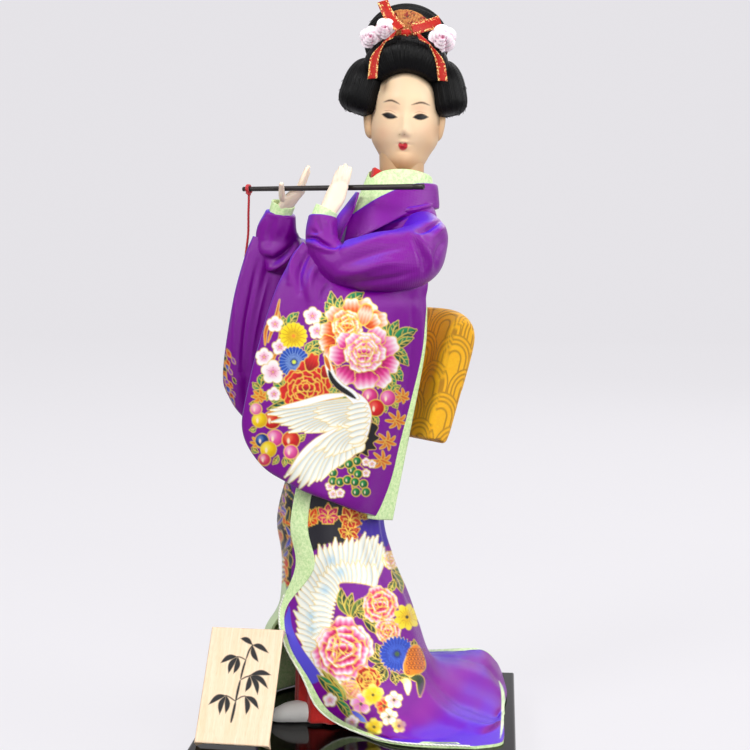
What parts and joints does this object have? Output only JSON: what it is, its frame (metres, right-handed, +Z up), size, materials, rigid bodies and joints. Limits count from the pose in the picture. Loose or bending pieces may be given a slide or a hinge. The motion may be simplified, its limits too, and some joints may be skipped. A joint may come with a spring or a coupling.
{
  "type": "geisha doll",
  "caption": "Standing doll in a long printed kimono playing a side-blown flute, with dressed hair and obi bow, on a lacquered plinth with a wooden plaque.",
  "frame": {"origin": "middle of the plinth's underside", "axes": "+Z up, +X to the viewer's right as the plinth's long front edge runs, +Y away from the viewer"},
  "size_m": [0.128, 0.118, 0.3061],
  "materials": {
    "plinth_lacquer": "black gloss lacquer",
    "steel_wire": "drawn wire",
    "stuffing": "stuffed cotton",
    "vinyl_skin": "moulded soft vinyl, satin",
    "sock_cloth": "white cotton",
    "red_cloth": "plain woven",
    "purple_satin": "printed satin with a two-tone sheen",
    "green_lining": "plain satin lining",
    "gold_brocade": "brocade with raised waves",
    "hair_thread": "combed black thread",
    "fan_paper": "gilt paper",
    "ribbon_cloth": "red ribbon with gilt edges",
    "rose_cloth": "pale satin ribbon",
    "flute_lacquer": "dark satin",
    "red_cord": "twisted cord",
    "plaque_wood": "planed, unvarnished"
  },
  "bodies": {
    "doll": {"plinth": "plinth_lacquer", "stand_rod": "steel_wire", "foot_pin": "steel_wire", "torso_core": "stuffing", "right_leg": "vinyl_skin", "left_leg": "vinyl_skin", "right_foot": "sock_cloth", "left_foot": "sock_cloth", "under_robe": "red_cloth", "left_arm": "steel_wire", "right_arm": "steel_wire", "left_hand": "vinyl_skin", "right_hand": "vinyl_skin", "skirt_left_panel": "purple_satin", "skirt_right_panel": "purple_satin", "skirt_lining": "green_lining", "front_band": "green_lining", "kimono_body": "purple_satin", "collar_outer": "purple_satin", "collar_inner": "green_lining", "collar_under": "red_cloth", "obi_band": "gold_brocade", "obi_bow": "gold_brocade", "left_cuff": "green_lining", "right_cuff": "green_lining", "left_sleeve": "purple_satin", "right_sleeve": "purple_satin", "left_sleeve_lining": "green_lining", "right_sleeve_lining": "green_lining"},
    "head": {"head": "vinyl_skin", "wig_cap": "hair_thread", "front_roll": "hair_thread", "wing_left": "hair_thread", "wing_right": "hair_thread", "topknot": "hair_thread", "nape_roll": "hair_thread", "hair_fan": "fan_paper", "ribbon_knot": "ribbon_cloth", "ribbon_tail_left": "ribbon_cloth", "ribbon_tail_right": "ribbon_cloth", "ribbon_loop_left": "ribbon_cloth", "ribbon_loop_right": "ribbon_cloth", "rose_right_outer": "rose_cloth", "rose_right_inner": "rose_cloth", "rose_left": "rose_cloth"},
    "flute": {"flute": "flute_lacquer", "flute_cord_knot": "red_cord", "flute_cord": "red_cord", "tassel": "red_cord"},
    "plaque": {"plaque": "plaque_wood"}
  },
  "joints": [
    {"name": "neck_turn", "type": "hinge", "parent": "doll", "child": "head", "pos_m": [0.016, 0.002, 0.2296], "axis": [0, 0, 1], "range_deg": [-60, 20]},
    {"name": "flute_slide", "type": "slide", "parent": "doll", "child": "flute", "axis": [-0.9403, 0.3404, 0], "range_m": [0, 0.06]},
    {"name": "plaque_tip", "type": "hinge", "parent": "doll", "child": "plaque", "pos_m": [-0.03118, -0.05007, 0.0143], "axis": [0.9972, -0.075, 0], "range_deg": [0, 34]}
  ]
}
